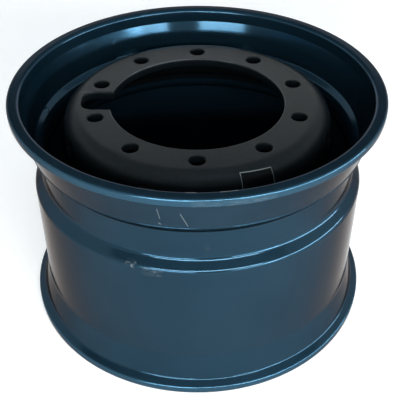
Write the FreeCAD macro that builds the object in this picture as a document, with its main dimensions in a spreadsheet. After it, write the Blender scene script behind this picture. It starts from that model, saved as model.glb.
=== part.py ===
import FreeCAD, Part
import math
import os

import Sketcher

doc = FreeCAD.newDocument("truck_wheel")

# The wheel lies on one lip, its axis upright along Z, the disc near the upper lip
sheet = doc.addObject("Spreadsheet::Sheet", "Sizes")
SIZES = [
    # Rim strip, millimetres and degrees; a 22.5 by 14.00 drop centre section
    ("rim_width", 355.6),
    ("rim_diameter", 571.5),
    ("flange_height", 12.7),
    ("flange_depth", 20.6),
    ("lip_height", 13.0),
    ("lip_thickness", 20.2),
    ("lip_flare_depth", 22.5),
    ("seat_taper", 15.0),
    ("seat_length", 54.5),
    ("well_depth", 26.75),
    ("well_width", 50.2),
    ("wall_slope", 45.0),
    ("ledge_depth", 11.25),
    ("rim_wall", 8.0),
    ("lip_edge_round", 7.0),
    ("lip_outer_round", 4.5),
    ("flange_fillet", 7.0),
    ("drop_bend", 10.0),
    ("rise_bend", 14.0),
    ("shoulder_bend", 4.0),
    ("ledge_bend", 40.0),
    # Valve hole through the drop wall
    ("valve_hole_diameter", 9.7),
    ("valve_hole_angle", 170.0),
    # Disc, spun from plate that thins towards its edge
    ("disc_depth", 31.0),
    ("plate_thickness", 14.0),
    ("skirt_thickness", 11.0),
    ("shoulder_margin", 44.5),
    ("skirt_spread", 10.0),
    ("skirt_depth", 58.0),
    ("flare_drop", 19.0),
    ("edge_seat_length", 16.0),
    ("shoulder_inner_bend", 16.0),
    ("flare_bend", 14.0),
    ("edge_inner_bend", 8.0),
    ("disc_fit_gap", 0.1),
    ("disc_edge_round", 1.5),
    # Openings in the disc
    ("stud_circle", 335.0),
    ("stud_hole_diameter", 26.0),
    ("stud_count", 10.0),
    ("stud_start_angle", 18.0),
    ("bore_land", 27.0),
    ("notch_width", 55.0),
    ("notch_depth", 46.5),
    ("notch_corner", 20.0),
    ("vent_diameter", 30.0),
    ("vent_drop", 31.5),
    ("vent_count", 8.0),
    ("vent_start_angle", 25.5),
    # Weld between the disc's edge and the well
    ("weld_leg", 7.0),
    ("weld_edge_round", 0.8),
]
for row, (alias, size) in enumerate(SIZES, start=1):
    sheet.set("A%d" % row, alias)
    sheet.set("B%d" % row, str(size))
    sheet.setAlias("B%d" % row, alias)
doc.recompute()


def cell(name):
    """Expression text that reads one size from the sheet."""
    return "Sizes.%s" % name


def size(name):
    """The number in one cell of the sheet."""
    return float(sheet.get(name))


def value(expression):
    """The number an expression text comes to."""
    result = sheet.evalExpression(expression)
    return float(getattr(result, "Value", result))


def origin_part(body, role):
    """The plane or axis of a body's own origin with this role."""
    for feature in body.Origin.OriginFeatures:
        if feature.Role == role:
            return feature
    raise RuntimeError("no origin feature " + role)


def rounded_outline(sketch, corners):
    """Closed outline with an arc at each corner, every corner and arc bound to the sheet.

    Each corner is (radius text, height text, bend text). The sharp outline is kept as
    construction lines; the edge lines lie on it and run tangent into the arcs.
    """
    points = [FreeCAD.Vector(value(r), value(z), 0) for r, z, bend in corners]
    bends = [value(bend) for r, z, bend in corners]
    count = len(corners)
    starts = []
    ends = []
    arcs = []
    for index in range(count):
        corner = points[index]
        back = (points[index - 1] - corner).normalize()
        ahead = (points[(index + 1) % count] - corner).normalize()
        half = back.getAngle(ahead) / 2
        reach = bends[index] / math.tan(half)
        first = corner + back * reach
        last = corner + ahead * reach
        centre = corner + (back + ahead).normalize() * (bends[index] / math.sin(half))
        left_turn = back.cross(ahead).z < 0
        ends.append(first)
        starts.append(last)
        arcs.append((centre, first, last, left_turn))
    guides = []
    for index in range(count):
        line = Part.LineSegment(points[index], points[(index + 1) % count])
        guides.append(sketch.addGeometry(line, True))
    edges = []
    for index in range(count):
        line = Part.LineSegment(starts[index], ends[(index + 1) % count])
        edges.append(sketch.addGeometry(line, False))
    curves = []
    for index in range(count):
        centre, first, last, left_turn = arcs[index]
        circle = Part.Circle(centre, FreeCAD.Vector(0, 0, 1), bends[index])
        begin, finish = (first, last) if left_turn else (last, first)
        begin_angle = math.atan2(begin.y - centre.y, begin.x - centre.x)
        finish_angle = math.atan2(finish.y - centre.y, finish.x - centre.x)
        curve = Part.ArcOfCircle(circle, begin_angle, finish_angle)
        curves.append(sketch.addGeometry(curve, False))
    bound = []
    for index in range(count):
        ahead_guide = guides[(index + 1) % count]
        sketch.addConstraint(Sketcher.Constraint("Coincident", guides[index], 2, ahead_guide, 1))
    for index, (r_text, z_text, bend_text) in enumerate(corners):
        across = Sketcher.Constraint("DistanceX", -1, 1, guides[index], 1, points[index].x)
        up = Sketcher.Constraint("DistanceY", -1, 1, guides[index], 1, points[index].y)
        bound.append((sketch.addConstraint(across), r_text))
        bound.append((sketch.addConstraint(up), z_text))
    for index in range(count):
        sketch.addConstraint(Sketcher.Constraint("PointOnObject", edges[index], 1, guides[index]))
        sketch.addConstraint(Sketcher.Constraint("PointOnObject", edges[index], 2, guides[index]))
    for index, (r_text, z_text, bend_text) in enumerate(corners):
        left_turn = arcs[index][3]
        entry, leave = (1, 2) if left_turn else (2, 1)
        edge_in = edges[index - 1]
        edge_out = edges[index]
        curve = curves[index]
        sketch.addConstraint(Sketcher.Constraint("Tangent", edge_in, 2, curve, entry))
        sketch.addConstraint(Sketcher.Constraint("Tangent", curve, leave, edge_out, 1))
        radius = Sketcher.Constraint("Radius", curve, bends[index])
        bound.append((sketch.addConstraint(radius), bend_text))
    for number, text in bound:
        sketch.setExpression("Constraints[%d]" % number, text)


def new_body(name, label):
    """An empty body with a label."""
    body = doc.addObject("PartDesign::Body", name)
    body.Label = label
    return body


def turned(body, name, corners):
    """Solid made by turning a rounded outline about the wheel's axis."""
    sketch = body.newObject("Sketcher::SketchObject", name + "_section")
    sketch.AttachmentSupport = [(origin_part(body, "XZ_Plane"), "")]
    sketch.MapMode = "FlatFace"
    rounded_outline(sketch, corners)
    doc.recompute()
    turn = body.newObject("PartDesign::Revolution", name + "_turn")
    turn.Profile = sketch
    turn.ReferenceAxis = (sketch, ["V_Axis"])
    turn.Angle = 360
    sketch.Visibility = False
    body.Tip = turn
    doc.recompute()
    return turn


def drill(body, name, radius, length, place, turn_axis, turn_angle):
    """Round hole cut by a cylinder whose place and tilt are bound to the sheet."""
    hole = body.newObject("PartDesign::SubtractiveCylinder", name)
    hole.AttachmentSupport = [(origin_part(body, "XY_Plane"), "")]
    hole.MapMode = "FlatFace"
    tilt = FreeCAD.Rotation(turn_axis, value(turn_angle))
    hole.AttachmentOffset = FreeCAD.Placement(FreeCAD.Vector(0, 0, 0), tilt)
    hole.setExpression("Radius", radius)
    hole.setExpression("Height", length)
    for letter, text in zip("xyz", place):
        hole.setExpression("AttachmentOffset.Base." + letter, text)
    hole.setExpression("AttachmentOffset.Rotation.Angle", turn_angle)
    body.Tip = hole
    doc.recompute()
    return hole


def ring_of(body, name, feature, count):
    """Equal copies of one cut all the way round the axis."""
    ring = body.newObject("PartDesign::PolarPattern", name)
    ring.Originals = [feature]
    ring.Axis = (origin_part(body, "Z_Axis"), [""])
    ring.Angle = 360
    ring.setExpression("Occurrences", count)
    body.Tip = ring
    doc.recompute()
    return ring


# Radii and heights shared by the pieces, written as expressions on the sheet
overall = "(Sizes.rim_width + 2 * Sizes.flange_depth)"
seat_r = "(Sizes.rim_diameter / 2)"
flange_r = "(%s + Sizes.flange_height)" % seat_r
lip_bore_r = "(%s - Sizes.lip_thickness)" % flange_r
well_r = "(%s - Sizes.well_depth)" % seat_r
ledge_r = "(%s - Sizes.ledge_depth)" % seat_r
taper = "tan(Sizes.seat_taper)"
slope = "tan(Sizes.wall_slope)"
wall = cell("rim_wall")
upper_seat_z = "(%s - Sizes.flange_depth)" % overall
drop_start_z = "(%s - Sizes.seat_length)" % upper_seat_z
drop_start_r = "(%s - Sizes.seat_length * %s)" % (seat_r, taper)
drop_end_z = "(%s - (%s - %s) / %s)" % (drop_start_z, drop_start_r, well_r, slope)
rise_start_z = "(%s - Sizes.well_width)" % drop_end_z
rise_end_z = "(%s - (Sizes.well_depth - Sizes.ledge_depth) / %s)" % (rise_start_z, slope)
ledge_end_z = "(Sizes.flange_depth + Sizes.ledge_depth / %s)" % taper

# Inner face of the strip, one wall thickness in from the outer face
bend_shift = "(%s * tan(Sizes.wall_slope / 2))" % wall
taper_shift = "(%s * tan(Sizes.seat_taper / 2))" % wall
drop_shift = "(%s * tan((Sizes.wall_slope - Sizes.seat_taper) / 2))" % wall
seat_in_r = "(%s - %s / cos(Sizes.seat_taper))" % (seat_r, wall)
flare_r = "(%s - (Sizes.lip_flare_depth - Sizes.flange_depth) * %s)" % (seat_in_r, taper)
well_in_r = "(%s - %s)" % (well_r, wall)
ledge_in_r = "(%s - %s)" % (ledge_r, wall)
drop_in_r = "(%s - %s * cos(Sizes.seat_taper) + %s * sin(Sizes.seat_taper))" % (drop_start_r, wall, drop_shift)
drop_in_z = "(%s + %s * sin(Sizes.seat_taper) + %s * cos(Sizes.seat_taper))" % (drop_start_z, wall, drop_shift)

lip_round = cell("lip_edge_round")
outer_round = cell("lip_outer_round")
flange_fillet = cell("flange_fillet")
drop_bend = cell("drop_bend")
rise_bend = cell("rise_bend")
shoulder_bend = cell("shoulder_bend")
ledge_bend = cell("ledge_bend")

# Rim: outer face from the upper lip to the lower lip, then the inner face back up
rim = new_body("rim", "Rim")
turned(rim, "rim", [
    (flange_r, overall, outer_round),
    (lip_bore_r, overall, lip_round),
    (flare_r, "(%s - Sizes.lip_flare_depth)" % overall, flange_fillet),
    (drop_in_r, drop_in_z, drop_bend),
    (well_in_r, "(%s + %s)" % (drop_end_z, bend_shift), "%s + %s" % (drop_bend, wall)),
    (well_in_r, "(%s - %s)" % (rise_start_z, bend_shift), "%s + %s" % (rise_bend, wall)),
    (ledge_in_r, "(%s - %s)" % (rise_end_z, bend_shift), shoulder_bend),
    (ledge_in_r, "(%s - %s)" % (ledge_end_z, taper_shift), "%s + %s" % (ledge_bend, wall)),
    (flare_r, "Sizes.lip_flare_depth", flange_fillet),
    (lip_bore_r, "0", lip_round),
    (flange_r, "0", outer_round),
    (flange_r, cell("lip_height"), outer_round),
    (seat_r, cell("flange_depth"), flange_fillet),
    (ledge_r, ledge_end_z, ledge_bend),
    (ledge_r, rise_end_z, "%s + %s" % (shoulder_bend, wall)),
    (well_r, rise_start_z, rise_bend),
    (well_r, drop_end_z, drop_bend),
    (drop_start_r, drop_start_z, "%s + %s" % (drop_bend, wall)),
    (seat_r, upper_seat_z, flange_fillet),
    (flange_r, "(%s - Sizes.lip_height)" % overall, outer_round),
])

# Valve hole, square to the drop wall at its middle; the tool is three walls long
valve_mid_r = "((%s + %s) / 2 - %s / 2 * cos(Sizes.wall_slope))" % (drop_start_r, well_r, wall)
valve_mid_z = "((%s + %s) / 2 + %s / 2 * sin(Sizes.wall_slope))" % (drop_start_z, drop_end_z, wall)
valve_back = "(1.5 * %s)" % wall
valve_foot_r = "(%s + %s * cos(Sizes.wall_slope))" % (valve_mid_r, valve_back)
valve_foot_z = "(%s - %s * sin(Sizes.wall_slope))" % (valve_mid_z, valve_back)
valve_angle = math.radians(size("valve_hole_angle"))
drill(
    rim,
    "valve_hole",
    "Sizes.valve_hole_diameter / 2",
    "3 * %s" % wall,
    (
        "%s * cos(Sizes.valve_hole_angle)" % valve_foot_r,
        "%s * sin(Sizes.valve_hole_angle)" % valve_foot_r,
        valve_foot_z,
    ),
    FreeCAD.Vector(math.sin(valve_angle), -math.cos(valve_angle), 0),
    "90 - Sizes.wall_slope",
)

# Disc: flat face, shoulder, steep skirt, flare and an edge that seats inside the well
disc_face_z = "(%s - Sizes.disc_depth)" % overall
disc_back_z = "(%s - Sizes.plate_thickness)" % disc_face_z
disc_edge_r = "(%s - Sizes.disc_fit_gap)" % well_in_r
shoulder_r = "(Sizes.stud_circle / 2 + Sizes.shoulder_margin)"
skirt_foot_r = "(%s + Sizes.skirt_spread)" % shoulder_r
skirt_foot_z = "(%s - Sizes.skirt_depth)" % disc_face_z
flare_end_z = "(%s - Sizes.flare_drop)" % skirt_foot_z
disc_edge_z = "(%s - Sizes.edge_seat_length)" % flare_end_z
skirt_slope = "atan(Sizes.skirt_spread / Sizes.skirt_depth)"
flare_slope = "atan((%s - %s) / Sizes.flare_drop)" % (disc_edge_r, skirt_foot_r)

# Inner face of the disc, one skirt thickness in from the outer face
skirt_wall = cell("skirt_thickness")
skirt_rise = "(Sizes.plate_thickness * tan(%s))" % skirt_slope
shoulder_back_r = "(%s + %s - %s / cos(%s))" % (shoulder_r, skirt_rise, skirt_wall, skirt_slope)
foot_share = "(%s / (1 + cos(%s - %s)))" % (skirt_wall, flare_slope, skirt_slope)
foot_in_r = "(%s - %s * (cos(%s) + cos(%s)))" % (skirt_foot_r, foot_share, skirt_slope, flare_slope)
foot_in_z = "(%s - %s * (sin(%s) + sin(%s)))" % (skirt_foot_z, foot_share, skirt_slope, flare_slope)
edge_in_r = "(%s - %s)" % (disc_edge_r, skirt_wall)
edge_in_z = "(%s - %s * tan(%s / 2))" % (flare_end_z, skirt_wall, flare_slope)
bore_r = "(Sizes.stud_circle / 2 - Sizes.bore_land)"
disc_round = cell("disc_edge_round")

disc = new_body("disc", "Disc")
turned(disc, "disc", [
    (bore_r, disc_face_z, disc_round),
    (bore_r, disc_back_z, disc_round),
    (shoulder_back_r, disc_back_z, cell("shoulder_inner_bend")),
    (foot_in_r, foot_in_z, "Sizes.flare_bend + %s" % skirt_wall),
    (edge_in_r, edge_in_z, cell("edge_inner_bend")),
    (edge_in_r, disc_edge_z, disc_round),
    (disc_edge_r, disc_edge_z, disc_round),
    (disc_edge_r, flare_end_z, "Sizes.edge_inner_bend + %s" % skirt_wall),
    (skirt_foot_r, skirt_foot_z, cell("flare_bend")),
    (shoulder_r, disc_face_z, "Sizes.shoulder_inner_bend + Sizes.plate_thickness"),
])

# Stud holes, straight through the plate on the stud circle
stud_hole = drill(
    disc,
    "stud_hole",
    "Sizes.stud_hole_diameter / 2",
    "3 * Sizes.plate_thickness",
    (
        "Sizes.stud_circle / 2 * cos(Sizes.stud_start_angle)",
        "Sizes.stud_circle / 2 * sin(Sizes.stud_start_angle)",
        "%s - 2 * Sizes.plate_thickness" % disc_face_z,
    ),
    FreeCAD.Vector(0, 0, 1),
    "Sizes.stud_start_angle",
)
ring_of(disc, "stud_holes", stud_hole, cell("stud_count"))

# Vents, square to the skirt; the tool is three plates long
vent_r = "(%s + Sizes.vent_drop * tan(%s))" % (shoulder_r, skirt_slope)
vent_z = "(%s - Sizes.vent_drop)" % disc_face_z
vent_back = "(2 * Sizes.plate_thickness)"
vent_foot_r = "(%s - %s * cos(%s))" % (vent_r, vent_back, skirt_slope)
vent_foot_z = "(%s - %s * sin(%s))" % (vent_z, vent_back, skirt_slope)
vent_angle = math.radians(size("vent_start_angle"))
vent = drill(
    disc,
    "vent",
    "Sizes.vent_diameter / 2",
    "3 * Sizes.plate_thickness",
    (
        "%s * cos(Sizes.vent_start_angle)" % vent_foot_r,
        "%s * sin(Sizes.vent_start_angle)" % vent_foot_r,
        vent_foot_z,
    ),
    FreeCAD.Vector(-math.sin(vent_angle), math.cos(vent_angle), 0),
    "90deg - %s" % skirt_slope,
)
ring_of(disc, "vents", vent, cell("vent_count"))

# Notch in the bore, towards -X, with rounded inner corners
notch_sketch = disc.newObject("Sketcher::SketchObject", "notch_outline")
notch_sketch.AttachmentSupport = [(origin_part(disc, "XY_Plane"), "")]
notch_sketch.MapMode = "FlatFace"
notch_sketch.AttachmentOffset = FreeCAD.Placement()
notch_sketch.setExpression("AttachmentOffset.Base.z", disc_face_z)
half_notch = "Sizes.notch_width / 2"
notch_reach = "-(%s + Sizes.notch_depth)" % bore_r
notch_root = "-%s / 2" % bore_r
rounded_outline(notch_sketch, [
    (notch_reach, half_notch, cell("notch_corner")),
    (notch_reach, "-" + half_notch, cell("notch_corner")),
    (notch_root, "-" + half_notch, disc_round),
    (notch_root, half_notch, disc_round),
])
doc.recompute()
notch = disc.newObject("PartDesign::Pocket", "notch")
notch.Profile = notch_sketch
notch.Type = 0
notch.setExpression("Length", "2 * Sizes.plate_thickness")
notch_sketch.Visibility = False
disc.Tip = notch
doc.recompute()

# Weld: one fillet all round, under the disc's edge and against the well
weld = new_body("disc_weld", "Disc weld")
weld_round = cell("weld_edge_round")
weld_top_z = "(%s - Sizes.disc_fit_gap)" % disc_edge_z
turned(weld, "weld", [
    (disc_edge_r, weld_top_z, weld_round),
    ("(%s - Sizes.weld_leg)" % disc_edge_r, weld_top_z, weld_round),
    (disc_edge_r, "(%s - Sizes.weld_leg)" % weld_top_z, weld_round),
])

doc.recompute()
for item in doc.Objects:
    if "Invalid" in item.State or "Error" in item.State:
        raise RuntimeError(item.Name + " did not build: " + ", ".join(item.State))

os.makedirs("parts", exist_ok=True)
for body in (rim, disc, weld):
    shape = body.Shape
    if not shape.isValid() or len(shape.Solids) != 1:
        raise RuntimeError(body.Label + " is not one sound solid")
    shape.exportStep("parts/%s.step" % body.Name)
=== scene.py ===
import math

import bmesh
import bpy
import numpy as np
from mathutils import Matrix, Vector


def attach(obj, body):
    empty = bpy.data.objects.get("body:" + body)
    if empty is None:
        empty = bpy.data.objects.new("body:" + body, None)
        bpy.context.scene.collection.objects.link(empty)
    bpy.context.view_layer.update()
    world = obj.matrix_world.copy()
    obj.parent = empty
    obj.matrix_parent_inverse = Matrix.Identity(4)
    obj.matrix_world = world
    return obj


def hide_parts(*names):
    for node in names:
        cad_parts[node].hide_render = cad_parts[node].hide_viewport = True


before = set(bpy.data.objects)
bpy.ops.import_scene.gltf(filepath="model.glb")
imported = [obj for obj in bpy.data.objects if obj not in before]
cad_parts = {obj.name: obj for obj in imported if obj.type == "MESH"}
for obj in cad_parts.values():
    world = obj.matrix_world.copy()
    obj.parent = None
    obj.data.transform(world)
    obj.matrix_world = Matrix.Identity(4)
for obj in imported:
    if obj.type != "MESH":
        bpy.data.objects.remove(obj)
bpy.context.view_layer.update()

# Rim: one rolled steel strip, welded into a ring and pressed to a 15 degree drop centre section.
# It has a solid lip at each end, tapered seats, a fine bead, a well near the disc and a long ledge.
# It is sprayed with gloss blue-black enamel inside and out.
RIM_HEIGHT = 0.3968
FLANGE_DEPTH = 0.0206
SEAT_RADIUS = 0.28575
FLANGE_HEIGHT = 0.0127
FLANGE_RADIUS = SEAT_RADIUS + FLANGE_HEIGHT
LIP_HEIGHT = 0.013
LIP_THICKNESS = 0.0202
LIP_BORE_RADIUS = FLANGE_RADIUS - LIP_THICKNESS
LIP_FLARE_DEPTH = 0.0225
SEAT_TAPER = math.radians(15.0)
SEAT_LENGTH = 0.0545
WELL_DEPTH = 0.02675
WELL_RADIUS = SEAT_RADIUS - WELL_DEPTH
WELL_WIDTH = 0.0502
WALL_SLOPE = math.radians(45.0)
LEDGE_DEPTH = 0.01125
LEDGE_RADIUS = SEAT_RADIUS - LEDGE_DEPTH
RIM_WALL = 0.008
LIP_EDGE_ROUND = 0.007
LIP_OUTER_ROUND = 0.0045
FLANGE_FILLET = 0.007
DROP_BEND = 0.010
RISE_BEND = 0.014
SHOULDER_BEND = 0.004
LEDGE_BEND = 0.040
BEAD_OFFSET = 0.0055
BEAD_STEP = 0.0014
BEAD_RISE = 0.0006
BEAD_ROUND = 0.0010
TURNS = 288
VALVE_HOLE_RADIUS = 0.00485
VALVE_EDGE_ROUND = 0.0006
VALVE_HOLE_ANGLE = math.radians(170.0)
MOUTH_SPREAD = 1.2
seat_z = RIM_HEIGHT - FLANGE_DEPTH
drop_z = seat_z - SEAT_LENGTH
drop_r = SEAT_RADIUS - SEAT_LENGTH * math.tan(SEAT_TAPER)
well_top = drop_z - (drop_r - WELL_RADIUS) / math.tan(WALL_SLOPE)


def rounded_section(corners, steps=9):
    """Closed line round a section: at each corner (radius, height, bend) an arc of that bend.

    The arc's centre lies on the corner's bisector at bend / sin(half angle), and the arc turns
    from the foot of the centre on the line before to its foot on the line after.
    """
    points = np.array([corner[:2] for corner in corners])
    bends = np.array([corner[2] for corner in corners])[:, None]
    back = np.roll(points, 1, axis=0) - points
    ahead = np.roll(points, -1, axis=0) - points
    back = back / np.linalg.norm(back, axis=1, keepdims=True)
    ahead = ahead / np.linalg.norm(ahead, axis=1, keepdims=True)
    half = np.arccos(np.clip((back * ahead).sum(1, keepdims=True), -1, 1)) / 2
    middle = back + ahead
    centre = points + middle / np.linalg.norm(middle, axis=1, keepdims=True) * bends / np.sin(half)
    foot_in = points + back * bends / np.tan(half) - centre
    foot_out = points + ahead * bends / np.tan(half) - centre
    start = np.arctan2(foot_in[:, 1], foot_in[:, 0])[:, None]
    sweep = np.arctan2(foot_out[:, 1], foot_out[:, 0])[:, None] - start
    sweep = (sweep + math.pi) % (2 * math.pi) - math.pi
    angle = start + sweep * np.linspace(0, 1, steps)[None, :]
    arc_r = centre[:, :1] + bends * np.cos(angle)
    arc_z = centre[:, 1:] + bends * np.sin(angle)
    return np.stack([arc_r.ravel(), arc_z.ravel()], axis=1)


def grid_quads(rows, columns, wrap_rows, wrap_columns):
    """Corner numbers of the quads of a grid whose vertices are stored row by row."""
    row = np.arange(rows if wrap_rows else rows - 1)[:, None]
    column = np.arange(columns if wrap_columns else columns - 1)[None, :]
    row_next = (row + 1) % rows
    column_next = (column + 1) % columns
    quads = [row * columns + column, row * columns + column_next,
             row_next * columns + column_next, row_next * columns + column]
    return np.stack(quads, axis=-1).reshape(-1, 4)


def turned_ring(section, turns=TURNS):
    """Section carried round the Z axis: x = r cos a, y = r sin a, z = z, closed both ways."""
    angle = np.linspace(0, 2 * math.pi, turns, endpoint=False)[:, None]
    r, z = section[None, :, 0], section[None, :, 1]
    grid = np.stack([r * np.cos(angle), r * np.sin(angle), z + 0 * angle], axis=-1)
    return grid.reshape(-1, 3), grid_quads(turns, len(section), True, True)


def mesh_object(name, points, quads):
    """Mesh object at the origin from arrays, faces turned outwards."""
    mesh = bpy.data.meshes.new(name)
    mesh.from_pydata(points.tolist(), [], quads.tolist())
    work = bmesh.new()
    work.from_mesh(mesh)
    bmesh.ops.recalc_face_normals(work, faces=work.faces)
    work.to_mesh(mesh)
    work.free()
    piece = bpy.data.objects.new(name, mesh)
    bpy.context.collection.objects.link(piece)
    return piece


def pin_tool(radius, length, edge_round, steps=8, turns=48):
    """Closed cutter about Z for a hole with rounded mouths.

    Its wall has the hole's radius; near each end, half a length from the middle, it opens as
    radius + edge_round * (1 - cos t), depth + edge_round * sin t, and runs on past the mouth.
    """
    t = np.linspace(0, math.pi / 2, steps)
    flare_r = radius + edge_round * (1 - np.cos(t))
    flare_z = length / 2 - edge_round + edge_round * np.sin(t)
    beyond = np.array([[radius + edge_round * MOUTH_SPREAD, length / 2 + edge_round]])
    upper = np.concatenate([np.stack([flare_r, flare_z], axis=1), beyond])
    lower = upper[::-1] * np.array([1, -1])
    side = np.concatenate([lower, upper])
    side = np.concatenate([[[0, side[0, 1]]], side, [[0, side[-1, 1]]]])
    angle = np.linspace(0, 2 * math.pi, turns, endpoint=False)[:, None]
    grid = np.stack([side[None, :, 0] * np.cos(angle), side[None, :, 0] * np.sin(angle),
                     side[None, :, 1] + 0 * angle], axis=-1)
    return grid.reshape(-1, 3), grid_quads(turns, len(side), True, False)


def placed(points, origin, direction):
    """Points moved so that their Z axis runs along direction through origin."""
    turn = Vector(direction).to_track_quat("Z", "Y").to_matrix()
    return points @ np.array(turn).T + np.array(origin)


def cut_out(piece, tools):
    """Take a list of closed tools (points, quads) out of a piece and keep the result as its mesh."""
    offsets = np.cumsum([0] + [len(points) for points, quads in tools])
    points = np.concatenate([tool[0] for tool in tools])
    quads = np.concatenate([tool[1] + offset for tool, offset in zip(tools, offsets)])
    cutter = mesh_object("cutter", points, quads)
    work = bmesh.new()
    work.from_mesh(cutter.data)
    bmesh.ops.remove_doubles(work, verts=work.verts, dist=1e-6)
    bmesh.ops.recalc_face_normals(work, faces=work.faces)
    work.to_mesh(cutter.data)
    work.free()
    cut = piece.modifiers.new("cut", "BOOLEAN")
    cut.operation = "DIFFERENCE"
    cut.solver = "EXACT"
    cut.object = cutter
    graph = bpy.context.evaluated_depsgraph_get()
    result = bpy.data.meshes.new_from_object(piece.evaluated_get(graph))
    piece.modifiers.clear()
    old = piece.data
    piece.data = result
    bpy.data.meshes.remove(old)
    bpy.data.objects.remove(cutter)


def smooth_metal(piece, sharp_degrees=50.0):
    """Smooth shading in which the large faces keep their own direction."""
    piece.data.shade_smooth()
    piece.data.set_sharp_from_angle(angle=math.radians(sharp_degrees))
    weighted = piece.modifiers.new("weighted", "WEIGHTED_NORMAL")
    weighted.keep_sharp = True
    weighted.weight = 80


def rim_section():
    """Corners of the strip's section; the inner face lies one wall in from the outer one."""
    taper = math.tan(SEAT_TAPER)
    slope = math.tan(WALL_SLOPE)
    well_foot = well_top - WELL_WIDTH
    ledge_top = well_foot - (LEDGE_RADIUS - WELL_RADIUS) / slope
    ledge_foot = FLANGE_DEPTH + (SEAT_RADIUS - LEDGE_RADIUS) / taper
    bend_shift = RIM_WALL * math.tan(WALL_SLOPE / 2)
    taper_shift = RIM_WALL * math.tan(SEAT_TAPER / 2)
    drop_shift = RIM_WALL * math.tan((WALL_SLOPE - SEAT_TAPER) / 2)
    seat_in = SEAT_RADIUS - RIM_WALL / math.cos(SEAT_TAPER)
    flare_r = seat_in - (LIP_FLARE_DEPTH - FLANGE_DEPTH) * taper
    drop_in_r = drop_r - RIM_WALL * math.cos(SEAT_TAPER) + drop_shift * math.sin(SEAT_TAPER)
    drop_in_z = drop_z + RIM_WALL * math.sin(SEAT_TAPER) + drop_shift * math.cos(SEAT_TAPER)
    well_in = WELL_RADIUS - RIM_WALL
    ledge_in = LEDGE_RADIUS - RIM_WALL
    bead_r = drop_r + BEAD_OFFSET * taper
    return [
        (FLANGE_RADIUS, RIM_HEIGHT, LIP_OUTER_ROUND),
        (LIP_BORE_RADIUS, RIM_HEIGHT, LIP_EDGE_ROUND),
        (flare_r, RIM_HEIGHT - LIP_FLARE_DEPTH, FLANGE_FILLET),
        (drop_in_r, drop_in_z, DROP_BEND),
        (well_in, well_top + bend_shift, DROP_BEND + RIM_WALL),
        (well_in, well_foot - bend_shift, RISE_BEND + RIM_WALL),
        (ledge_in, ledge_top - bend_shift, SHOULDER_BEND),
        (ledge_in, ledge_foot - taper_shift, LEDGE_BEND + RIM_WALL),
        (flare_r, LIP_FLARE_DEPTH, FLANGE_FILLET),
        (LIP_BORE_RADIUS, 0.0, LIP_EDGE_ROUND),
        (FLANGE_RADIUS, 0.0, LIP_OUTER_ROUND),
        (FLANGE_RADIUS, LIP_HEIGHT, LIP_OUTER_ROUND),
        (SEAT_RADIUS, FLANGE_DEPTH, FLANGE_FILLET),
        (LEDGE_RADIUS, ledge_foot, LEDGE_BEND),
        (LEDGE_RADIUS, ledge_top, SHOULDER_BEND + RIM_WALL),
        (WELL_RADIUS, well_foot, RISE_BEND),
        (WELL_RADIUS, well_top, DROP_BEND),
        (drop_r, drop_z, DROP_BEND + RIM_WALL),
        (bead_r + BEAD_RISE, drop_z + BEAD_OFFSET - BEAD_STEP, BEAD_ROUND),
        (bead_r, drop_z + BEAD_OFFSET, BEAD_ROUND),
        (SEAT_RADIUS, seat_z, FLANGE_FILLET),
        (FLANGE_RADIUS, RIM_HEIGHT - LIP_HEIGHT, LIP_OUTER_ROUND),
    ]


rim = mesh_object("painted_rim", *turned_ring(rounded_section(rim_section())))
valve_r = (drop_r + WELL_RADIUS) / 2 - RIM_WALL / 2 * math.cos(WALL_SLOPE)
valve_z = (drop_z + well_top) / 2 + RIM_WALL / 2 * math.sin(WALL_SLOPE)
valve_out = np.array([math.cos(VALVE_HOLE_ANGLE), math.sin(VALVE_HOLE_ANGLE)])
valve_axis = (*(valve_out * math.cos(WALL_SLOPE)), -math.sin(WALL_SLOPE))
valve_points, valve_quads = pin_tool(VALVE_HOLE_RADIUS, RIM_WALL, VALVE_EDGE_ROUND)
cut_out(rim, [(placed(valve_points, (*(valve_out * valve_r), valve_z), valve_axis), valve_quads)])
smooth_metal(rim)


class Wire:
    """A socket in a node tree; arithmetic on it adds Math nodes. Without a socket it starts a tree."""

    def __init__(self, tree, socket=None):
        self.tree = tree
        self.socket = socket

    def node(self, kind, settings, **inputs):
        """New node of a kind: its settings, then values or wires for inputs by name or as in0, in1."""
        made = self.tree.nodes.new(kind)
        for name, setting in settings.items():
            setattr(made, name, setting)
        for name, entry in inputs.items():
            if name.startswith("in"):
                slot = made.inputs[int(name[2:])]
            else:
                slot = made.inputs[name.replace("_", " ")]
            if isinstance(entry, Wire):
                self.tree.links.new(entry.socket, slot)
            else:
                slot.default_value = entry
        return made

    def of(self, made, output=0):
        """Wire from a node's output."""
        return Wire(self.tree, made.outputs[output])

    def maths(self, operation, other=0.0, swap=False):
        """Math node on this wire and another wire or number."""
        first, second = (other, self) if swap else (self, other)
        return self.of(self.node("ShaderNodeMath", {"operation": operation}, in0=first, in1=second))

    def __add__(self, other):
        return self.maths("ADD", other)

    def __sub__(self, other):
        return self.maths("SUBTRACT", other)

    def __rsub__(self, other):
        return self.maths("SUBTRACT", other, swap=True)

    def __mul__(self, other):
        return self.maths("MULTIPLY", other)

    def __truediv__(self, other):
        return self.maths("DIVIDE", other)

    def __rtruediv__(self, other):
        return self.maths("DIVIDE", other, swap=True)

    __radd__ = __add__
    __rmul__ = __mul__

    def between(self, low, high):
        """0 below low, 1 above high, smooth in between."""
        settings = {"interpolation_type": "SMOOTHSTEP"}
        made = self.node("ShaderNodeMapRange", settings, in0=self, in1=low, in2=high, in3=0.0, in4=1.0)
        return self.of(made)

    def mix(self, low, high):
        """Colour between low and high, by this wire."""
        settings = {"data_type": "RGBA"}
        made = self.node("ShaderNodeMix", settings, in0=self, in6=low, in7=high)
        return self.of(made, 2)


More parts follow.
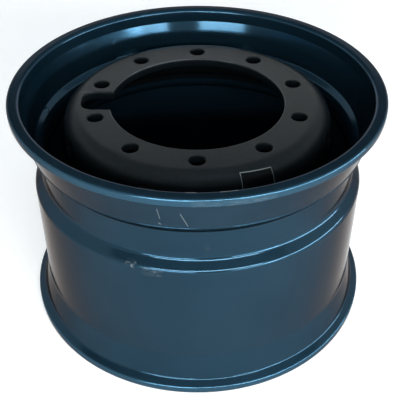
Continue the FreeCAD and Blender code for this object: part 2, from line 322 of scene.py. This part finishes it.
class Finish:
    """A material with a Principled shader, and the places on the piece that its patterns read."""

    def __init__(self, name):
        self.material = bpy.data.materials.new(name)
        self.material.use_nodes = True
        self.tree = self.material.node_tree
        self.shader = self.tree.nodes["Principled BSDF"]
        start = Wire(self.tree)
        self.place = start.of(start.node("ShaderNodeTexCoord", {}), "Object")
        parts = self.place.node("ShaderNodeSeparateXYZ", {}, in0=self.place)
        self.x = self.place.of(parts, 0)
        self.y = self.place.of(parts, 1)
        self.z = self.place.of(parts, 2)

    def noise(self, scale, detail=2.0, roughness=0.5):
        """Noise of about 1 / scale metres."""
        made = self.place.node("ShaderNodeTexNoise", {}, Vector=self.place, Scale=scale,
                               Detail=detail, Roughness=roughness)
        return self.place.of(made, 0)

    def stretched_noise(self, scale, stretch, detail=3.0):
        """Noise drawn out along Z: its Z is divided by stretch."""
        flat = self.place.node("ShaderNodeMapping", {}, Vector=self.place, Scale=(1.0, 1.0, 1.0 / stretch))
        made = self.place.node("ShaderNodeTexNoise", {}, Vector=self.place.of(flat),
                               Scale=scale, Detail=detail)
        return self.place.of(made, 0)

    def radius(self):
        """Distance from the wheel's axis."""
        return (self.x * self.x + self.y * self.y).maths("POWER", 0.5)

    def angle(self):
        """Angle round the wheel's axis from +X, in radians."""
        return self.y.maths("ARCTAN2", self.x)

    def patch(self, angles, heights, soft=0.004):
        """1 inside a range of angles (degrees from +X) and of heights, 0 outside, soft at its border."""
        turn = self.angle()
        low, high = (math.radians(angle) for angle in angles)
        blur = soft / FLANGE_RADIUS
        wide = turn.between(low - blur, low) * (1.0 - turn.between(high, high + blur))
        low, high = heights
        tall = self.z.between(low - soft, low) * (1.0 - self.z.between(high, high + soft))
        return wide * tall

    def scratch(self, first, last, width):
        """1 on a thin line between two places (degrees from +X, height), 0 beside it and past its ends."""
        share = (self.z - first[1]) / (last[1] - first[1])
        turn = share * math.radians(last[0] - first[0]) + math.radians(first[0])
        aside = (self.angle() - turn).maths("ABSOLUTE") * SEAT_RADIUS
        along = share.between(-0.02, 0.02) * (1.0 - share.between(0.98, 1.02))
        return along * (1.0 - aside.between(width * 0.4, width))

    def link(self, wire, name):
        """Wire into the shader's socket of this name."""
        self.tree.links.new(wire.socket, self.shader.inputs[name])

    def bump(self, height, distance):
        """Bump from a height wire, distance in metres, into the shader's normal."""
        made = height.node("ShaderNodeBump", {}, Strength=1.0, Distance=distance, Height=height)
        self.link(height.of(made), "Normal")

    def fixed(self, **values):
        """Constant values on the shader's own sockets."""
        for name, entry in values.items():
            self.shader.inputs[name.replace("_", " ")].default_value = entry

    def duller(self, shown, level):
        """The same shader again with a lower specular level, mixed in where the wire is 0."""
        dull = shown.node("ShaderNodeBsdfPrincipled", {})
        for own, other in zip(self.shader.inputs, dull.inputs):
            if own.is_linked:
                self.tree.links.new(own.links[0].from_socket, other)
            else:
                other.default_value = own.default_value
        dull.inputs["Specular IOR Level"].default_value = level
        both = shown.node("ShaderNodeMixShader", {}, in0=shown, in1=shown.of(dull),
                          in2=shown.of(self.shader))
        self.tree.links.new(both.outputs[0], self.tree.nodes["Material Output"].inputs["Surface"])


ENAMEL_DARK = (0.006, 0.025, 0.043, 1.0)
ENAMEL_LIGHT = (0.013, 0.039, 0.062, 1.0)
LIP_SHEEN_BLUE = (0.022, 0.066, 0.104, 1.0)
DUST_GREY = (0.07, 0.085, 0.095, 1.0)
BARE_AND_HIGHLIGHT_GREY = (0.24, 0.27, 0.28, 1.0)
# Wear, at angles in degrees from +X and at heights: scuffs, scratches and rubs on the lip. The rubs on the
# front of the lip, on its outer round and its inner top edge, are partly worn paint and partly a painted
# highlight.
SMALL_SCUFF = ((-112.0, -109.5), (0.242, 0.248))
LONG_SCUFF = ((-106.5, -101.0), (0.233, 0.242))
SCRATCHES = [
    ((-100.9, 0.366), (-100.4, 0.344), 0.0007),
    ((-101.0, 0.3345), (-100.4, 0.3315), 0.0016),
    ((-94.6, 0.359), (-92.6, 0.331), 0.0009),
]
LIP_RUB_AND_HIGHLIGHT = ((-91.0, -70.0), (0.3850, 0.3900))
LIP_TOP_EDGE = (0.3920, 0.3970)
EDGE_RUBS_AND_HIGHLIGHTS = [(-84.0, -79.0), (-93.0, -90.0)]
EDGE_RUB_AND_HIGHLIGHT_RADII = (0.2825, 0.2845)
enamel = Finish("blue_black_enamel")
enamel.fixed(Metallic=0.8, Coat_Weight=0.08, Coat_Roughness=0.08, Specular_IOR_Level=0.4,
             IOR=1.5, Specular_Tint=(0.42, 0.34, 0.30, 1.0))
cloudy = enamel.noise(9.0, detail=3.0)
peel = enamel.noise(420.0)
dust = enamel.noise(60.0, detail=5.0, roughness=0.65)
streaks = enamel.stretched_noise(70.0, stretch=14.0)
deep = cloudy.mix(ENAMEL_DARK, ENAMEL_LIGHT)
dusty = dust.between(0.52, 0.8) * streaks.between(0.45, 0.75)
# Painted reflection: the lip's outer face is painted a lighter blue all round, standing in for the bright
# band it reflects.
painted_lip_sheen = enamel.radius().between(FLANGE_RADIUS - 0.003, FLANGE_RADIUS - 0.001)
deep = (painted_lip_sheen * 0.9).mix(deep, LIP_SHEEN_BLUE)
colour = (dusty * 0.2).mix(deep, DUST_GREY)
chips = enamel.noise(260.0, detail=5.0, roughness=0.75)
layers = enamel.stretched_noise(120.0, stretch=0.12)
scuffs = enamel.patch(*SMALL_SCUFF) * chips.between(0.48, 0.68)
chipped = layers.between(0.45, 0.75) * chips.between(0.35, 0.60)
scuffs = scuffs + enamel.patch(*LONG_SCUFF) * chipped
scratches = sum(enamel.scratch(*line) for line in SCRATCHES)
# Rubs on the front of the lip: partly worn paint, partly a painted highlight in bare grey where the lip
# catches the light.
rubbed_and_highlit = enamel.patch(*LIP_RUB_AND_HIGHLIGHT) * layers.between(0.40, 0.75) * 0.5
edge_rubs_and_highlights = sum(enamel.patch(angles, LIP_TOP_EDGE, soft=0.001) for angles in EDGE_RUBS_AND_HIGHLIGHTS)
inner_edge = 1.0 - enamel.radius().between(*EDGE_RUB_AND_HIGHLIGHT_RADII)
rubbed_and_highlit = rubbed_and_highlit + edge_rubs_and_highlights * chips.between(0.36, 0.50) * inner_edge
worn_and_highlit = (scuffs + scratches + rubbed_and_highlit).maths("MINIMUM", 1.0)
# Bare grey for the scuffs and scratches, and as a painted highlight on the front of the lip.
colour = (worn_and_highlit * 0.6).mix(colour, BARE_AND_HIGHLIGHT_GREY)
enamel.link(colour, "Base Color")
enamel.link(0.10 + 0.07 * cloudy + 0.20 * dusty + 0.2 * worn_and_highlit, "Roughness")
enamel.bump(peel, 0.00004)
rim.data.materials.clear()
rim.data.materials.append(enamel.material)
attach(rim, "root")
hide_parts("rim")

# Disc: thick plate spun to a dish, thinner towards its edge, punched with a hub bore, a notch,
# stud holes and round vents. Its steep skirt flares to a short cylinder inside the rim's well.
# It carries a thin, dull, grainy coat of the same black. Shade is painted into its holes and down the
# skirt, as a darker colour and a lower specular level.
DISC_DEPTH = 0.031
DISC_FACE = RIM_HEIGHT - DISC_DEPTH
PLATE = 0.014
SKIRT_PLATE = 0.011
STUD_CIRCLE = 0.335
STUD_HOLE_RADIUS = 0.013
STUD_EDGE_ROUND = 0.0012
STUD_COUNT = 10
STUD_START = math.radians(18.0)
SHOULDER_MARGIN = 0.0445
SHOULDER_RADIUS = STUD_CIRCLE / 2 + SHOULDER_MARGIN
SKIRT_SPREAD = 0.010
SKIRT_DEPTH = 0.058
FLARE_DROP = 0.019
EDGE_SEAT_LENGTH = 0.016
SHOULDER_INNER_BEND = 0.016
FLARE_BEND = 0.014
EDGE_INNER_BEND = 0.008
DISC_FIT_GAP = 0.0001
DISC_EDGE_ROUND = 0.0015
BORE_LAND = 0.027
BORE_RADIUS = STUD_CIRCLE / 2 - BORE_LAND
NOTCH_WIDTH = 0.055
NOTCH_DEPTH = 0.0465
NOTCH_REACH = BORE_RADIUS + NOTCH_DEPTH
NOTCH_CORNER = 0.020
VENT_RADIUS = 0.015
VENT_DROP = 0.0315
VENT_COUNT = 8
VENT_START = math.radians(25.5)
disc_edge_r = WELL_RADIUS - RIM_WALL - DISC_FIT_GAP
skirt_slope = math.atan(SKIRT_SPREAD / SKIRT_DEPTH)
skirt_foot_r = SHOULDER_RADIUS + SKIRT_SPREAD
skirt_foot = DISC_FACE - SKIRT_DEPTH
flare_end = skirt_foot - FLARE_DROP
disc_edge = flare_end - EDGE_SEAT_LENGTH


def disc_section():
    """Corners of the disc's section: bore, back, inner skirt and flare, edge, and back outside."""
    back = DISC_FACE - PLATE
    flare_slope = math.atan((disc_edge_r - skirt_foot_r) / FLARE_DROP)
    shoulder_in = SHOULDER_RADIUS + PLATE * math.tan(skirt_slope) - SKIRT_PLATE / math.cos(skirt_slope)
    share = SKIRT_PLATE / (1 + math.cos(flare_slope - skirt_slope))
    foot_in_r = skirt_foot_r - share * (math.cos(skirt_slope) + math.cos(flare_slope))
    foot_in_z = skirt_foot - share * (math.sin(skirt_slope) + math.sin(flare_slope))
    edge_in = disc_edge_r - SKIRT_PLATE
    return [
        (BORE_RADIUS, DISC_FACE, DISC_EDGE_ROUND),
        (BORE_RADIUS, back, DISC_EDGE_ROUND),
        (shoulder_in, back, SHOULDER_INNER_BEND),
        (foot_in_r, foot_in_z, FLARE_BEND + SKIRT_PLATE),
        (edge_in, flare_end - SKIRT_PLATE * math.tan(flare_slope / 2), EDGE_INNER_BEND),
        (edge_in, disc_edge, DISC_EDGE_ROUND),
        (disc_edge_r, disc_edge, DISC_EDGE_ROUND),
        (disc_edge_r, flare_end, EDGE_INNER_BEND + SKIRT_PLATE),
        (skirt_foot_r, skirt_foot, FLARE_BEND),
        (SHOULDER_RADIUS, DISC_FACE, SHOULDER_INNER_BEND + PLATE),
    ]


def notch_tool(edge_round, steps=8):
    """Closed cutter for the notch: its rounded outline, swelling to the two faces as a hole does.

    Level k is the outline grown outwards by edge_round * (1 - cos t) at the height of
    edge_round * sin t above the straight wall, and the same below.
    """
    t = np.linspace(0, math.pi / 2, steps)
    grow = np.concatenate([edge_round * (1 - np.cos(t)), [edge_round * MOUTH_SPREAD]])
    rise = np.concatenate([PLATE / 2 - edge_round + edge_round * np.sin(t), [PLATE / 2 + edge_round]])
    grow = np.concatenate([grow[::-1], grow])
    rise = np.concatenate([-rise[::-1], rise]) + DISC_FACE - PLATE / 2
    levels = []
    for extra in grow:
        half = NOTCH_WIDTH / 2 + extra
        far = -NOTCH_REACH - extra
        near = -BORE_RADIUS / 2
        corners = [(far, half, NOTCH_CORNER + extra), (far, -half, NOTCH_CORNER + extra),
                   (near, -half, 0.001), (near, half, 0.001)]
        levels.append(rounded_section(corners, 16))
    outline = np.stack(levels)
    heights = np.broadcast_to(rise[:, None, None], outline.shape[:2] + (1,))
    points = np.concatenate([outline, heights], axis=-1)
    middle = np.array([(NOTCH_REACH + BORE_RADIUS / 2) / -2, 0.0])
    low = np.broadcast_to(np.append(middle, rise[0]), points[:1].shape)
    high = np.broadcast_to(np.append(middle, rise[-1]), points[:1].shape)
    points = np.concatenate([low, points, high])
    return points.reshape(-1, 3), grid_quads(len(points), points.shape[1], False, True)


disc = mesh_object("painted_disc", *turned_ring(rounded_section(disc_section())))
tools = [notch_tool(DISC_EDGE_ROUND)]
stud_points, stud_quads = pin_tool(STUD_HOLE_RADIUS, PLATE, STUD_EDGE_ROUND)
for angle in STUD_START + np.arange(STUD_COUNT) * 2 * math.pi / STUD_COUNT:
    place = (STUD_CIRCLE / 2 * math.cos(angle), STUD_CIRCLE / 2 * math.sin(angle), DISC_FACE - PLATE / 2)
    tools.append((placed(stud_points, place, (0, 0, 1)), stud_quads))
vent_points, vent_quads = pin_tool(VENT_RADIUS, PLATE * 2, 0.0)
vent_r = SHOULDER_RADIUS + VENT_DROP * math.tan(skirt_slope)
vent_z = DISC_FACE - VENT_DROP
vent_r -= SKIRT_PLATE / 2 * math.cos(skirt_slope)
vent_z -= SKIRT_PLATE / 2 * math.sin(skirt_slope)
for angle in VENT_START + np.arange(VENT_COUNT) * 2 * math.pi / VENT_COUNT:
    out = np.array([math.cos(angle), math.sin(angle)])
    axis = (*(out * math.cos(skirt_slope)), math.sin(skirt_slope))
    tools.append((placed(vent_points, (*(out * vent_r), vent_z), axis), vent_quads))
cut_out(disc, tools)
smooth_metal(disc)

SATIN_DARK = (0.0028, 0.0040, 0.0048, 1.0)
SATIN_LIGHT = (0.0062, 0.0080, 0.0088, 1.0)
SATIN_PAINTED_SHADE = (0.0016, 0.0026, 0.0034, 1.0)
SPECK_GREY = (0.12, 0.13, 0.13, 1.0)
RUBBED_GREY = (0.12, 0.13, 0.14, 1.0)
SHOULDER_RADII = (0.183, 0.192)
FACE_GLOSS = 0.14
PAINTED_SHADE_GLOSS = 0.05
satin = Finish("satin_black_grain")
satin.fixed(IOR=1.5, Specular_IOR_Level=FACE_GLOSS, Specular_Tint=(0.7, 0.9, 1.0, 1.0))
patches = satin.noise(14.0, detail=4.0, roughness=0.6)
grain = satin.noise(900.0, detail=3.0, roughness=0.6)
specks = satin.noise(1400.0, detail=1.0).between(0.62, 0.74)
coat = patches.mix(SATIN_DARK, SATIN_LIGHT)
coat = (specks * 0.40).mix(coat, SPECK_GREY)
# Painted shade: off the flat face and the shoulder, in the holes and down the skirt, the coat is darker
# and its specular level lower.
shoulder = satin.radius().between(*SHOULDER_RADII)
shoulder = shoulder * satin.z.between(DISC_FACE - 0.036, DISC_FACE - 0.004)
face = satin.z.between(DISC_FACE - 0.006, DISC_FACE - 0.0008).maths("MAXIMUM", shoulder)
coat = face.mix(SATIN_PAINTED_SHADE, coat)
near_face = satin.z.between(DISC_FACE - 0.0025, DISC_FACE - 0.0008)
bore_edge = 1.0 - (satin.radius() - BORE_RADIUS).maths("ABSOLUTE").between(0.0010, 0.0022)
notch_side = (satin.y.maths("ABSOLUTE") - NOTCH_WIDTH / 2).maths("ABSOLUTE")
notch_side = 1.0 - notch_side.between(0.0010, 0.0022)
notch_side = notch_side * (1.0 - satin.x.between(-NOTCH_REACH + 0.012, -NOTCH_REACH + 0.018))
rub = near_face * bore_edge.maths("MAXIMUM", notch_side) * patches.between(0.30, 0.60)
coat = (rub * 0.30).mix(coat, RUBBED_GREY)
satin.link(coat, "Base Color")
satin.link(0.26 + 0.16 * patches, "Roughness")
satin.bump(grain, 0.00025)
# Painted shade: a duller copy of the shader is mixed in off the face and the shoulder.
satin.duller(face, PAINTED_SHADE_GLOSS)
disc.data.materials.clear()
disc.data.materials.append(satin.material)
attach(disc, "root")
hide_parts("disc")

# Weld: one continuous fillet laid all round under the disc's edge, where it meets the well.
# It is steel wire melted in overlapping scales, painted over with the rim's enamel.
WELD_LEG = 0.007
WELD_TOP = disc_edge - DISC_FIT_GAP
RIPPLE_LENGTH = 0.006
RIPPLE_HEIGHT = 0.0005
WELD_HOLLOW = 0.0006


def weld_bead(turns=1536, steps=9):
    """Three-cornered bead with a slightly hollow face, rippled along its run.

    Across the run u goes from the disc's edge to the well along the face, which sinks by
    WELD_HOLLOW * sin(pi u); along the run each scale is a saw-tooth of ripple height, leaning back
    across the face by half a scale at its middle.
    """
    angle = np.linspace(0, 2 * math.pi, turns, endpoint=False)[:, None]
    u = np.linspace(0, 1, steps)[None, :]
    scales = round(2 * math.pi * disc_edge_r / RIPPLE_LENGTH)
    phase = angle * scales / (2 * math.pi) + 0.5 * np.sin(math.pi * u)
    tooth = phase - np.floor(phase)
    sink = (WELD_HOLLOW + RIPPLE_HEIGHT * tooth) * np.sin(math.pi * u)
    r = disc_edge_r - WELD_LEG * (1 - u) + sink * math.sqrt(0.5)
    z = WELD_TOP - WELD_LEG * u + sink * math.sqrt(0.5)
    root_r = np.full_like(angle, disc_edge_r)
    root_z = np.full_like(angle, WELD_TOP)
    r = np.concatenate([r, root_r], axis=1)
    z = np.concatenate([z, root_z], axis=1)
    grid = np.stack([r * np.cos(angle), r * np.sin(angle), z], axis=-1)
    return grid.reshape(-1, 3), grid_quads(turns, steps + 1, True, True)


weld = mesh_object("weld_bead", *weld_bead())
weld.data.shade_smooth()
weld.data.set_sharp_from_angle(angle=math.radians(60.0))
weld.data.materials.append(enamel.material)
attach(weld, "root")
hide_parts("disc_weld")

# Label: a small blank rectangle of clear film on the disc's shoulder, towards the front.
# It follows the curve of the shoulder, and a painted highlight in light grey lines its cut edge along the
# top and the two sides.
LABEL_ANGLE = math.radians(294.1)
LABEL_WIDTH = 0.0485
LABEL_TOP_RADIUS = 0.203
LABEL_HEIGHT = 0.034
LABEL_FILM = 0.0003
LABEL_TILT = math.radians(4.7)
LABEL_TOP_HEIGHT = DISC_FACE - 0.0046
LABEL_TOP_FALL = 0.048
FILM_DARK = (0.0014, 0.0024, 0.0032, 1.0)
FILM_LIGHT = (0.0030, 0.0042, 0.0050, 1.0)
FILM_EDGE_HIGHLIGHT = (0.13, 0.15, 0.15, 1.0)


def shoulder_line(distance):
    """Point and outward direction on the disc's outer face, a distance along it from its flat's end.

    First the shoulder's arc, angle = distance / bend, then the straight skirt.
    """
    bend = SHOULDER_INNER_BEND + PLATE
    full = math.pi / 2 - skirt_slope
    flat_end = SHOULDER_RADIUS - bend * math.tan(full / 2)
    turn = np.clip(distance / bend, 0, full)
    beyond = np.maximum(distance - bend * full, 0)
    r = flat_end + bend * np.sin(turn) + beyond * math.sin(skirt_slope)
    z = DISC_FACE - bend * (1 - np.cos(turn)) - beyond * math.cos(skirt_slope)
    return r, z, np.sin(turn), np.cos(turn)


def label_film(across=24, down=24):
    """Closed film: a grid of angle by distance down the shoulder, lifted by its thickness and back."""
    bend = SHOULDER_INNER_BEND + PLATE
    flat_end = SHOULDER_RADIUS - bend * math.tan((math.pi / 2 - skirt_slope) / 2)
    start = bend * math.asin((LABEL_TOP_RADIUS - flat_end) / bend)
    run = LABEL_WIDTH * np.linspace(-0.5, 0.5, across)[None, :]
    distance = start + LABEL_HEIGHT * np.linspace(0, 1, down)[:, None] + math.tan(LABEL_TILT) * run
    r, z, out_r, out_z = shoulder_line(distance)
    angle = LABEL_ANGLE + run / LABEL_TOP_RADIUS
    layers = []
    for lift in (0.0, LABEL_FILM):
        film_r = r + out_r * lift
        film_z = z + out_z * lift + 0 * angle
        layers.append(np.stack([film_r * np.cos(angle), film_r * np.sin(angle), film_z], axis=-1))
    low, high = layers
    points = np.concatenate([low.reshape(-1, 3), high.reshape(-1, 3)])
    face = grid_quads(down, across, False, False)
    count = down * across
    number = np.arange(count).reshape(down, across)
    ring = np.concatenate([number[0, :-1], number[:-1, -1], number[-1, :0:-1], number[:0:-1, 0]])
    ring_next = np.roll(ring, -1)
    sides = np.stack([ring, ring_next, ring_next + count, ring + count], axis=1)
    return points, np.concatenate([face, face + count, sides])


label = mesh_object("blank_label", *label_film())
label.data.shade_smooth()
label.data.set_sharp_from_angle(angle=math.radians(40.0))
film = Finish("clear_label_film")
film.fixed(Specular_IOR_Level=0.07, Roughness=0.35)
creases = film.noise(160.0, detail=3.0)
clear = creases.mix(FILM_DARK, FILM_LIGHT)
aside = (film.angle() - (LABEL_ANGLE - 2 * math.pi)) * LABEL_TOP_RADIUS
# Painted highlight: a thin light grey line along the film's top edge and its two side edges.
side_highlight = aside.maths("ABSOLUTE").between(LABEL_WIDTH / 2 - 0.0011, LABEL_WIDTH / 2 - 0.0007)
top_highlight = film.z + aside * LABEL_TOP_FALL
top_highlight = top_highlight.between(LABEL_TOP_HEIGHT - 0.0010, LABEL_TOP_HEIGHT - 0.0006)
edge = side_highlight.maths("MAXIMUM", top_highlight)
film.link(edge.mix(clear, FILM_EDGE_HIGHLIGHT), "Base Color")
film.bump(creases, 0.0002)
label.data.materials.append(film.material)
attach(label, "root")

# Studio: a pale floor under a white surround and a dim ceiling. Two low window panes and a higher
# lamp stand in front, a long lamp at the right and a weak one behind; the camera sees none of them.
FLOOR_SIZE = 30.0
FLOOR_BELOW = 0.0005
FLOOR_GLOW = 0.27
FLOOR_PALE = (0.85, 0.85, 0.85, 1)
FLOOR_SHADED = (0.03, 0.03, 0.03, 1)
WHEEL_FOOT = (0.285, 0.30)
CEILING_HEIGHT = 2.6
CEILING_HALF_WIDTH = 3.0
CEILING_FRONT = -2.7
CEILING_BACK = 4.0
SURROUND_LIGHT = 0.55
WHITE = (1, 1, 1, 1)


def sheet_object(name, half_width, front, back, height):
    """One flat level face."""
    corners = [[-half_width, front, height], [half_width, front, height],
               [half_width, back, height], [-half_width, back, height]]
    return mesh_object(name, np.array(corners), np.array([[0, 1, 2, 3]]))


def shown_rays(tree):
    """1 for camera, glossy and transmission rays, 0 for all others."""
    start = Wire(tree)
    path = start.node("ShaderNodeLightPath", {})
    shown = start.of(path, "Is Camera Ray")
    for name in ("Is Glossy Ray", "Is Transmission Ray"):
        shown = shown.maths("MAXIMUM", start.of(path, name))
    return shown


floor = sheet_object("floor", FLOOR_SIZE / 2, -FLOOR_SIZE / 2, FLOOR_SIZE / 2, -FLOOR_BELOW)
floor_paint = bpy.data.materials.new("pale_floor")
floor_paint.use_nodes = True
tree = floor_paint.node_tree
tree.nodes.clear()
wire = Wire(tree)
spot = wire.of(wire.node("ShaderNodeTexCoord", {}), "Object")
reach = wire.node("ShaderNodeVectorMath", {"operation": "LENGTH"}, in0=spot)
# Painted shadow: inside the wheel's footprint the floor is painted near black and its white glow is cut.
outside = wire.of(reach, "Value").between(*WHEEL_FOOT)
pale = wire.node("ShaderNodeBsdfDiffuse", {}, Color=outside.mix(FLOOR_SHADED, FLOOR_PALE))
white = wire.node("ShaderNodeEmission", {}, Color=WHITE, Strength=FLOOR_GLOW)
both = wire.node("ShaderNodeAddShader", {}, in0=wire.of(pale), in1=wire.of(white))
choose = wire.node("ShaderNodeMixShader", {}, in0=shown_rays(tree) * outside,
                   in1=wire.of(pale), in2=wire.of(both))
wire.node("ShaderNodeOutputMaterial", {}, Surface=wire.of(choose))
floor.data.materials.append(floor_paint)

ceiling = sheet_object("ceiling", CEILING_HALF_WIDTH, CEILING_FRONT, CEILING_BACK, CEILING_HEIGHT)
ceiling_paint = bpy.data.materials.new("dim_ceiling")
ceiling_paint.use_nodes = True
dim = ceiling_paint.node_tree.nodes["Principled BSDF"]
dim.inputs["Base Color"].default_value = (0.25, 0.28, 0.30, 1.0)
dim.inputs["Roughness"].default_value = 0.9
ceiling.data.materials.append(ceiling_paint)
ceiling.visible_camera = False

world = bpy.data.worlds.new("white_surround")
bpy.context.scene.world = world
world.use_nodes = True
tree = world.node_tree
tree.nodes.clear()
shown = shown_rays(tree)
surround = shown.node("ShaderNodeBackground", {}, Color=WHITE,
                      Strength=SURROUND_LIGHT + (1 - SURROUND_LIGHT) * shown)
shown.node("ShaderNodeOutputWorld", {}, Surface=shown.of(surround))


def lamp(name, place, target, width, height, watts, colour):
    """Rectangular lamp at a place, facing a target."""
    light = bpy.data.lights.new(name, "AREA")
    light.shape = "RECTANGLE"
    light.size = width
    light.size_y = height
    light.energy = watts
    light.color = colour
    made = bpy.data.objects.new(name, light)
    made.location = place
    made.rotation_euler = (Vector(target) - Vector(place)).to_track_quat("-Z", "Y").to_euler()
    made.visible_camera = False
    bpy.context.collection.objects.link(made)


WINDOW_LIGHT = (0.84, 0.95, 1.0)
lamp("pane_left", place=(-1.1, -3.2, 0.78), target=(-1.1, 0, 0.5), width=2.0, height=0.3,
     watts=50.0, colour=WINDOW_LIGHT)
lamp("pane_right", place=(2.4, -3.2, 0.78), target=(1.2, 0, 0.5), width=2.2, height=0.3,
     watts=56.0, colour=WINDOW_LIGHT)
lamp("lamp_high", place=(0.3, -2.9, 1.7), target=(0, 0, 0.4), width=4.0, height=0.2,
     watts=130.0, colour=(1.0, 0.99, 0.97))
lamp("lamp_back", place=(0.0, 3.2, 1.2), target=(0, 0, 0.4), width=3.0, height=0.4,
     watts=9.0, colour=(0.97, 0.99, 1.0))
lamp("lamp_right", place=(3.2, -1.2, 0.78), target=(0, 0, 0.5), width=4.0, height=0.3,
     watts=120.0, colour=(0.88, 0.96, 1.0))

# Camera: the photograph's place, found from the wheel's circles; 740.5 pixels of focal length
# over a frame 400 pixels wide.
FRAME_PIXELS = 400
FOCAL_PIXELS = 740.5
CAMERA_PLACE = (0.00395, -1.03582, 0.58562 + RIM_HEIGHT)
CAMERA_PITCH = math.radians(38.454)
CAMERA_ROLL = math.radians(-0.201)
camera_data = bpy.data.cameras.new("camera")
camera_data.sensor_width = 36.0
camera_data.lens = FOCAL_PIXELS / FRAME_PIXELS * camera_data.sensor_width
camera = bpy.data.objects.new("camera", camera_data)
bpy.context.collection.objects.link(camera)
tilt = Matrix.Rotation(math.pi / 2 - CAMERA_PITCH, 4, "X")
camera.matrix_world = Matrix.Translation(CAMERA_PLACE) @ tilt @ Matrix.Rotation(CAMERA_ROLL, 4, "Z")
bpy.context.scene.camera = camera
bpy.context.scene.view_settings.view_transform = "Standard"
